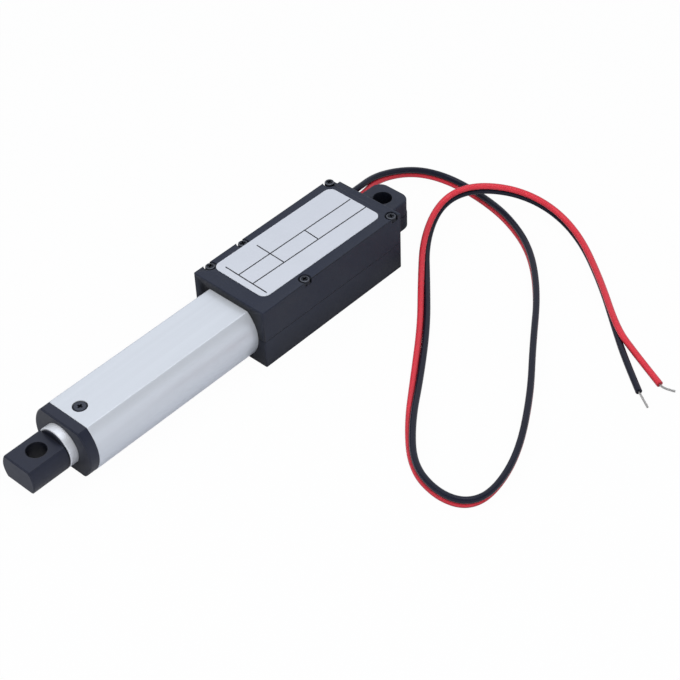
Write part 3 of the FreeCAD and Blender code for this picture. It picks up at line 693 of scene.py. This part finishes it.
class ACTUATOR_OT_stage(bpy.types.Operator):
    """Lay the floor, set the lights and place the camera"""

    bl_idname = "actuator.stage"
    bl_label = "Stage"

    def execute(self, context):
        stage = context.scene.actuator_stage
        context.scene.view_settings.view_transform = "Standard"
        self.lay_floor(stage)
        self.set_world(context.scene, stage)
        # Each softbox has its name, place, width, power and colour, and whether gloss mirrors it.
        for softbox in (
            ("Top light", (0.0, 0.0, 0.55), 0.2, stage.top_power, stage.tint, True),
            ("Key light", (0.15, 0.36, 0.50), 0.35, stage.key_power, stage.key_tint, False),
            ("Side light", (0.46, -0.15, 0.40), 0.35, stage.side_power, stage.key_tint, False),
        ):
            self.add_softbox(*softbox)
        self.place_camera(context.scene, stage)
        return {"FINISHED"}

    def lay_floor(self, stage):
        deselect_all()
        bpy.ops.mesh.primitive_plane_add(size=4.0, location=(0.0, 0.0, cad_box[0][2]))
        floor = bpy.context.object
        floor.name = "studio_floor"
        bpy.ops.object.transform_apply()
        # White painted board: plain white to the eye, with a trace of shadow, and pale in reflections.
        material = new_material("Painted board, white")[0]
        path = add_node(material, "LightPath")
        seen = add_node(
            material, "Math",
            {0: path.outputs["Is Camera Ray"], 1: stage.floor_whiteness}, operation="MULTIPLY",
        )
        mirrored = add_node(
            material, "Math",
            {0: self.mirrored_ray(material, path), 1: stage.floor_mirrored}, operation="MULTIPLY",
        )
        share = add_node(
            material, "Math", {0: seen.outputs[0], 1: mirrored.outputs[0]}, operation="MAXIMUM"
        )
        paint = add_node(material, "BsdfDiffuse", {"Color": (*stage.floor_paint, 1.0)})
        white = add_node(material, "Emission", {"Color": (1.0, 1.0, 1.0, 1.0), "Strength": 1.0})
        mixed = add_node(
            material, "MixShader", {0: share.outputs[0], 1: paint.outputs[0], 2: white.outputs[0]}
        )
        add_node(material, "OutputMaterial", {"Surface": mixed.outputs[0]})
        floor.data.materials.append(material)

    def mirrored_ray(self, owner, path):
        """1 for a ray that left a gloss or went through glass."""
        ray = add_node(
            owner, "Math",
            {0: path.outputs["Is Glossy Ray"], 1: path.outputs["Is Transmission Ray"]},
            operation="MAXIMUM",
        )
        return ray.outputs[0]

    def set_world(self, scene, stage):
        """An even fill, and for reflections dark walls between a white sweep and a white ceiling."""
        world = bpy.data.worlds.new("Studio")
        world.use_nodes = True
        world.node_tree.nodes.clear()
        path = add_node(world, "LightPath")
        direction = add_node(world, "TexCoord").outputs["Generated"]
        height = add_node(world, "SeparateXYZ", {0: direction})
        # The white sweep ends low down, and the ceiling is a soft round patch.
        wall = add_node(
            world, "MapRange",
            {"Value": height.outputs["Z"], "From Min": 0.12, "From Max": 0.45},
            interpolation_type="SMOOTHSTEP",
        )
        upward = add_node(world, "VectorMath", {0: direction, 1: CEILING}, operation="DOT_PRODUCT")
        below = add_node(
            world, "MapRange",
            {"Value": upward.outputs["Value"], "From Min": 0.45, "From Max": 0.8, "To Min": 1.0,
             "To Max": 0.0}, interpolation_type="SMOOTHSTEP",
        )
        dark = add_node(world, "Math", {0: wall.outputs[0], 1: below.outputs[0]}, operation="MULTIPLY")
        room = add_node(
            world, "MapRange",
            {"Value": dark.outputs[0], "To Min": 1.0, "To Max": 1.0 - stage.dark_walls},
        )
        seen = add_node(
            world, "Math",
            {0: path.outputs["Is Camera Ray"], 1: self.mirrored_ray(world, path)}, operation="MAXIMUM",
        )
        level = add_node(
            world, "Mix", {0: seen.outputs[0], 2: stage.fill, 3: room.outputs[0]}, data_type="FLOAT"
        )
        light = add_node(
            world, "Background", {"Color": (*stage.tint, 1.0), "Strength": level.outputs[0]}
        )
        add_node(world, "OutputWorld", {"Surface": light.outputs[0]})
        scene.world = world

    def add_softbox(self, name, place, size, power, tint, mirrored):
        bpy.ops.object.light_add(type="AREA", location=place)
        lamp = bpy.context.object
        lamp.name = name
        lamp.data.size = size
        lamp.data.energy = power
        lamp.data.color = tint
        lamp.visible_glossy = mirrored
        lamp.rotation_euler = (LIT_POINT - Vector(place)).to_track_quat("-Z", "Y").to_euler()

    def place_camera(self, scene, stage):
        bpy.ops.object.camera_add(location=stage.camera_place)
        camera = bpy.context.object
        forward = Vector(stage.camera_aim) - Vector(stage.camera_place)
        turn = forward.to_track_quat("-Z", "Y") @ Quaternion((0.0, 0.0, 1.0), stage.camera_roll)
        camera.rotation_euler = turn.to_euler()
        camera.data.lens = stage.lens
        camera.data.sensor_width = 36.0
        camera.data.clip_start = 0.01
        scene.camera = camera


class ACTUATOR_OT_housing(bpy.types.Operator):
    """Give the two shells their textured plastic and open the far rear pocket to the back"""

    bl_idname = "actuator.housing"
    bl_label = "Housing"

    def execute(self, context):
        # ABS moulded in a spark-eroded tool: a dull slate with a fine grain that breaks up the light.
        # The grain is about 0.15 mm, drawn at 0.45 mm so that it shows.
        shells = moulded_plastic("ABS, spark textured", colours().housing, 0.45, 0.00003, 0.58, 0.38)
        dress(shells, "housing_upper", "housing_lower")
        self.open_rear_pocket(shells)
        return {"FINISHED"}

    def open_rear_pocket(self, finish):
        """The upper shell again, without the thin wall between the far rear screw and the back."""
        size = sizes()
        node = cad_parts["housing_upper"]
        shell = bpy.data.objects.new("housing_upper_shell", node.data.copy())
        bpy.context.collection.objects.link(shell)
        select_only(shell)
        bpy.ops.object.mode_set(mode="EDIT")
        bpy.ops.mesh.select_all(action="SELECT")
        bpy.ops.mesh.remove_doubles(threshold=TINY)
        bpy.ops.object.mode_set(mode="OBJECT")
        x, y = HOUSING_SCREWS[0][:2]
        low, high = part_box("housing_upper")
        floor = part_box("housing_screws")[1][2] - size.screw_head_height
        near_edge = y + size.screw_head / 2 + size.pocket_gap
        bpy.ops.mesh.primitive_cube_add(size=1.0)
        cutter = bpy.context.object
        # It reaches past the corner on both sides, from the screw's middle to the back.
        past = 0.001
        back = HOUSING_BACK - past
        side = low[1] - past
        top = high[2] + past
        cutter.scale = (x - back, near_edge - side, top - floor)
        cutter.location = ((x + back) / 2, (near_edge + side) / 2, (top + floor) / 2)
        bpy.ops.object.transform_apply()
        combine(shell, cutter, "DIFFERENCE")
        bpy.ops.object.shade_smooth_by_angle(angle=math.radians(35))
        # The broad faces set the shading of the narrow rounds beside them, so they look flat.
        step = shell.modifiers.new("Flat faces", "WEIGHTED_NORMAL")
        step.keep_sharp = True
        bpy.ops.object.modifier_apply(modifier=step.name)
        shell.data.materials.clear()
        shell.data.materials.append(finish)
        place_piece(shell, "base", "housing_plastic", "housing_upper")


class ACTUATOR_OT_label(bpy.types.Operator):
    """Cut the label film and rule its print"""

    bl_idname = "actuator.label"
    bl_label = "Label"

    def execute(self, context):
        size = sizes()
        low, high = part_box("rating_label")
        thickness = high[2] - low[2]
        deselect_all()
        bpy.ops.mesh.primitive_plane_add(size=1.0, location=(0.5, 0.0, 0.0))
        label = bpy.context.object
        label.name = "label_film"
        bpy.ops.object.transform_apply()
        label.scale = (size.label_length, size.label_width, 1.0)
        label.rotation_euler = (0.0, 0.0, size.label_turn)
        label.location = (*LABEL_REAR, low[2])
        bpy.ops.object.transform_apply()
        bpy.ops.object.mode_set(mode="EDIT")
        bpy.ops.mesh.select_all(action="SELECT")
        bpy.ops.mesh.bevel(offset=size.label_corner, segments=8, affect="VERTICES")
        bpy.ops.mesh.select_all(action="SELECT")
        extrude((0.0, 0.0, thickness))
        select_edges(label, lambda first, last: min(first.z, last.z) > high[2] - TINY)
        bpy.ops.mesh.bevel(offset=thickness / 3, segments=2)
        self.rule(label)
        bpy.ops.mesh.select_all(action="SELECT")
        bpy.ops.mesh.normals_make_consistent(inside=False)
        bpy.ops.object.mode_set(mode="OBJECT")
        label.data.materials.append(label_film())
        label.data.materials.append(label_ink())
        self.ink(label, high[2])
        place_piece(label, "base", "label_film", "rating_label")
        return {"FINISHED"}

    def rule(self, label):
        """Cut the film's face along both sides and both ends of each printed line."""
        half = sizes().rule_width / 2
        for start, end in LABEL_RULES:
            first = Vector((*start, 0.0))
            last = Vector((*end, 0.0))
            along = (last - first).normalized()
            across = Vector((-along.y, along.x, 0.0))
            for point, normal in (
                (first + across * half, across),
                (first - across * half, across),
                (first, along),
                (last, along),
            ):
                bpy.ops.mesh.select_all(action="SELECT")
                bpy.ops.mesh.bisect(plane_co=point, plane_no=normal)

    def ink(self, label, top):
        """Give the faces inside the printed lines the ink."""
        half = sizes().rule_width / 2
        for face in label.data.polygons:
            for start, end in LABEL_RULES:
                first = Vector((*start, top))
                run = Vector((*end, top)) - first
                away = face.center - first
                along = away.dot(run.normalized())
                off = (away - run.normalized() * along).length
                if 0.0 < along < run.length and off < half:
                    face.material_index = 1


class ACTUATOR_OT_screws(bpy.types.Operator):
    """Model the housing screws and the cap screw"""

    bl_idname = "actuator.screws"
    bl_label = "Screws"

    def execute(self, context):
        # Blackened steel: dark grey with a dull metal gleam on the rim, black inside the cross.
        black = worked_metal("Steel, blackened", colours().screws, 0.42, 0.3, 0.3, 0.000006)
        # The rims are painted a paler steel: a painted highlight along them.
        rim_paint = worked_metal("Steel, painted rim highlight", colours().rim_highlight, 0.36, 0.2, 0.2, 0.000006)
        self.housing_screws((black, rim_paint))
        # A phosphated head is a matt mid grey, blotched by its crystals.
        grey = worked_metal("Steel, phosphated", colours().phosphate, 0.55, 0.4, 0.4, 0.00002)
        # The cap screw's rim takes the blackened steel: a painted dark ring of shade round its head.
        self.cap_screw((grey, black))
        return {"FINISHED"}

    def housing_screws(self, finishes):
        size = sizes()
        pattern = cross_screw(
            "housing_screw", size.screw_head, size.screw_head_height, size.screw_shank,
            size.screw_length, size.screw_cross, finishes,
        )
        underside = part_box("housing_screws")[1][2] - size.screw_head_height
        for number, (x, y, turn, proud) in enumerate(HOUSING_SCREWS):
            screw = pattern.copy()
            screw.data = pattern.data.copy()
            screw.name = "housing_screw_" + str(number + 1)
            bpy.context.collection.objects.link(screw)
            select_only(screw)
            screw.location = (x, y, underside + proud)
            screw.rotation_euler = (0.0, 0.0, math.radians(turn))
            bpy.ops.object.transform_apply()
            place_piece(screw, "base", "dark_steel", "housing_screws")
        bpy.data.objects.remove(pattern)

    def cap_screw(self, finishes):
        low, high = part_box("cap_screw")
        size = sizes()
        head_height = 0.0008
        turn = math.radians(12)
        screw = cross_screw(
            "cap_screw_cross", size.cap_screw_head, head_height, size.cap_screw_shank,
            high[2] - low[2] - head_height, size.cap_screw_cross, finishes,
        )
        select_only(screw)
        screw.location = ((low[0] + high[0]) / 2, (low[1] + high[1]) / 2, high[2] - head_height)
        screw.rotation_euler = (0.0, 0.0, turn)
        bpy.ops.object.transform_apply()
        place_piece(screw, "base", "dark_steel", "cap_screw")


class ACTUATOR_OT_tube_and_rod(bpy.types.Operator):
    """Give the tube, the rod and their fittings their finishes"""

    bl_idname = "actuator.tube_and_rod"
    bl_label = "Tube and rod"

    def execute(self, context):
        dress(anodised_tube(), "outer_tube")
        # Glass-filled nylon, moulded in a smooth tool: dark, a little glossier than the shells.
        fittings = moulded_plastic("Nylon, glass filled", colours().fittings, 0.6, 0.00001, 0.46, 0.38)
        dress(fittings, "front_cap", "rod_end")
        # Stainless steel, ground and blasted: satin, with fine streaks along it and soft reflections.
        rod = worked_metal("Stainless steel, ground satin", colours().rod, 0.4, 0.25, 6.0, 0.000002, 0.5)
        dress(rod, "push_rod")
        # Nitrile rubber, moulded: black and dull.
        rubber = moulded_plastic("Nitrile rubber, moulded", colours().rubber, 0.4, 0.00001, 0.7, 0.3)
        dress(rubber, "wiper_ring")
        return {"FINISHED"}


class ACTUATOR_OT_leads(bpy.types.Operator):
    """Lay the red and black wires and twist their bare ends"""

    bl_idname = "actuator.leads"
    bl_label = "Twin lead"

    def execute(self, context):
        # Copper strand, tinned: dull silver.
        tinned = worked_metal("Copper strand, tinned", colours().tinned, 0.34, 0.2, 1.0, 0.000003)
        wires = (
            ("lead_black", 1, BLACK_EXIT, BLACK_END, BLACK_TIP, "black_insulation",
             wire_insulation("PVC insulation, black", colours().black_wire)),
            ("lead_red", -1, RED_EXIT, RED_END, RED_TIP, "red_insulation",
             wire_insulation("PVC insulation, red", colours().red_wire)),
        )
        for node, side, exit_place, end, tip, slot, material in wires:
            wire = insulated_wire(node + "_wire", wire_route(side, exit_place, end), material)
            place_piece(wire, "base", slot, node)
            strands = bare_strands(node + "_strands", tip, tinned)
            place_piece(strands, "base", "tinned_wire", node + "_tip")
        return {"FINISHED"}


class ACTUATOR_OT_lead_screw(bpy.types.Operator):
    """Turn the lead screw and cut its thread"""

    bl_idname = "actuator.lead_screw"
    bl_label = "Lead screw"

    def execute(self, context):
        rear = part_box("lead_screw")[0][0]
        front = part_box("lead_screw")[1][0]
        collar_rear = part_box("bearing_outer_race")[1][0]
        collar_front = collar_rear + sizes().screw_collar_length
        screw = self.thread(collar_front, front)
        combine(screw, self.journal(rear, collar_rear, collar_front), "UNION")
        combine(screw, self.pin_hole(), "DIFFERENCE")
        bpy.ops.object.shade_smooth_by_angle(angle=math.radians(30))
        # Carbon steel, rolled thread: grey and bright, with the flow of the die along the flanks.
        rolled = worked_metal("Steel, rolled thread", colours().steel, 0.28, 2.0, 0.2, 0.000003)
        screw.data.materials.append(rolled)
        place_piece(screw, "screw", "bright_steel", "lead_screw")
        return {"FINISHED"}

    def thread(self, start, end):
        """A trapezoid thread, drawn as one lead of its outline and swept round the X axis."""
        size = sizes()
        crest = size.lead_screw / 2
        flat = size.thread_lead * 0.35
        flank = size.thread_lead / 2 - flat
        deselect_all()
        bpy.ops.mesh.primitive_plane_add(size=size.thread_depth)
        screw = bpy.context.object
        screw.name = "lead_screw_thread"
        bpy.ops.object.mode_set(mode="EDIT")
        bpy.ops.mesh.select_all(action="SELECT")
        bpy.ops.mesh.merge(type="CENTER")
        bpy.ops.transform.translate(value=(start - size.thread_lead, 0.0, crest - size.thread_depth))
        depth = size.thread_depth
        for run, rise in ((flat, 0.0), (flank, depth), (flat, 0.0), (flank, -depth)):
            extrude((run, 0.0, rise))
        bpy.ops.object.mode_set(mode="OBJECT")
        sweep = screw.modifiers.new("Sweep", "SCREW")
        sweep.axis = "X"
        sweep.screw_offset = size.thread_lead
        sweep.iterations = math.ceil((end - start) / size.thread_lead) + 2
        sweep.steps = 32
        sweep.render_steps = 32
        sweep.use_merge_vertices = True
        sweep.merge_threshold = TINY
        select_only(screw)
        bpy.ops.object.modifier_apply(modifier=sweep.name)
        bpy.ops.object.mode_set(mode="EDIT")
        for place, way in ((start, -1.0), (end, 1.0)):
            bpy.ops.mesh.select_all(action="SELECT")
            bpy.ops.mesh.bisect(
                plane_co=(place, 0.0, 0.0), plane_no=(way, 0.0, 0.0), use_fill=True, clear_outer=True
            )
        bpy.ops.mesh.select_all(action="SELECT")
        bpy.ops.mesh.remove_doubles(threshold=TINY)
        bpy.ops.mesh.normals_make_consistent(inside=False)
        bpy.ops.object.mode_set(mode="OBJECT")
        return screw

    def journal(self, rear, collar_rear, collar_front):
        """The plain end in the bearing, its collar, and a spigot that sits in the thread."""
        size = sizes()
        deselect_all()
        bpy.ops.mesh.primitive_cylinder_add(
            vertices=64, radius=size.lead_screw / 2, depth=collar_rear - rear,
            rotation=(0.0, math.pi / 2, 0.0), location=((rear + collar_rear) / 2, 0.0, 0.0),
        )
        journal = bpy.context.object
        bpy.ops.object.transform_apply()
        bpy.ops.object.mode_set(mode="EDIT")
        select_faces(journal, lambda centre, normal: normal.x > 0.5)
        bpy.ops.mesh.extrude_region_move()
        self.widen(size.screw_collar / size.lead_screw, collar_rear)
        extrude((collar_front - collar_rear, 0.0, 0.0))
        bpy.ops.mesh.extrude_region_move()
        spigot = size.lead_screw - 2.4 * size.thread_depth
        self.widen(spigot / size.screw_collar, collar_front)
        extrude((size.thread_lead, 0.0, 0.0))
        select_edges(journal, lambda first, last: max(first.x, last.x) < rear + TINY)
        bpy.ops.mesh.bevel(offset=size.thread_depth / 2, segments=2)
        bpy.ops.object.mode_set(mode="OBJECT")
        return journal

    def widen(self, share, place):
        bpy.ops.transform.resize(value=(1.0, share, share), center_override=(place, 0.0, 0.0))

    def pin_hole(self):
        """A cutter for the hole that the coupling's pin goes through."""
        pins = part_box("coupling_pins")
        size = sizes()
        slack = 0.00002
        deselect_all()
        bpy.ops.mesh.primitive_cylinder_add(
            vertices=32, radius=size.coupling_pin / 2 + slack, depth=size.lead_screw * 2,
            location=(pins[1][0] - size.coupling_pin / 2, 0.0, 0.0),
        )
        cutter = bpy.context.object
        bpy.ops.object.transform_apply()
        return cutter


class ACTUATOR_OT_drive(bpy.types.Operator):
    """Give the motor, the gears, the screw and the boards their finishes"""

    bl_idname = "actuator.drive"
    bl_label = "Drive"

    def execute(self, context):
        # Carbon steel, turned: grey and bright, with rings from the tool.
        turned = worked_metal("Steel, turned", colours().steel, 0.3, 4.0, 0.2, 0.000004)
        dress(turned, "screw_coupling", "coupling_pins", "output_shaft", "motor_shaft", "gear_arbor",
              "gearbox_pillars")
        # Bearing steel, ground and polished: near mirror.
        polished = worked_metal("Bearing steel, polished", colours().steel, 0.12, 3.0, 0.3, 0.000001)
        dress(polished, "bearing_outer_race", "bearing_inner_race", "bearing_balls")
        # Steel sheet, deep drawn and nickel plated: warm grey with faint lines along the can.
        plated = worked_metal("Steel sheet, nickel plated", colours().steel, 0.26, 0.4, 8.0, 0.000003)
        dress(plated, "motor_can", "gearbox_rear_plate", "gearbox_front_plate")
        # Brass, hobbed: yellow, with cutter marks along the teeth.
        hobbed = worked_metal("Brass, hobbed", colours().brass, 0.3, 0.3, 3.0, 0.000003)
        dress(hobbed, "motor_pinion", "first_gear", "second_gear", "third_gear", "output_gear",
              "motor_terminals")
        # Acetal, moulded: off white and waxy.
        dress(moulded_plastic("Acetal, moulded", colours().nut, 0.7, 0.000008, 0.4, 0.5), "drive_nut")
        # Phenolic, moulded: black and half matt.
        phenolic = moulded_plastic("Phenolic, moulded", colours().motor_end, 0.5, 0.00001, 0.5, 0.5)
        dress(phenolic, "motor_end_cap", "limit_switches", "blocking_diodes")
        # Glass epoxy under solder mask: green and glossy, with the weave just showing.
        dress(moulded_plastic("Glass epoxy, solder masked", colours().board, 0.8, 0.000006, 0.3, 0.5),
              "terminal_board", "limit_board")
        return {"FINISHED"}


class ACTUATOR_PT_build(bpy.types.Panel):
    """Lists the steps that build the actuator, and its sizes and colours"""

    bl_idname = "ACTUATOR_PT_build"
    bl_label = "Linear actuator"
    bl_space_type = "VIEW_3D"
    bl_region_type = "UI"
    bl_category = "Actuator"

    def draw(self, context):
        for step in STEPS:
            self.layout.operator(step.bl_idname)
        for group in GROUPS:
            values = getattr(context.scene, group)
            for name in values.__annotations__:
                self.layout.prop(values, name)


GROUPS = {
    "actuator_sizes": ActuatorSizes,
    "actuator_colours": ActuatorColours,
    "actuator_stage": ActuatorStage,
}
STEPS = (
    ACTUATOR_OT_stage,
    ACTUATOR_OT_leads,
    ACTUATOR_OT_housing,
    ACTUATOR_OT_label,
    ACTUATOR_OT_screws,
    ACTUATOR_OT_tube_and_rod,
    ACTUATOR_OT_lead_screw,
    ACTUATOR_OT_drive,
)
CLASSES = (*GROUPS.values(), *STEPS, ACTUATOR_PT_build)


def register():
    for kind in CLASSES:
        bpy.utils.register_class(kind)
    for name, group in GROUPS.items():
        setattr(bpy.types.Scene, name, bpy.props.PointerProperty(type=group))


def unregister():
    for name in GROUPS:
        delattr(bpy.types.Scene, name)
    for kind in reversed(CLASSES):
        bpy.utils.unregister_class(kind)


def main():
    register()
    bpy.ops.actuator.stage()
    bpy.ops.actuator.leads()
    bpy.ops.actuator.housing()
    bpy.ops.actuator.label()
    bpy.ops.actuator.screws()
    bpy.ops.actuator.tube_and_rod()
    bpy.ops.actuator.lead_screw()
    bpy.ops.actuator.drive()


if __name__ == "__main__":
    main()
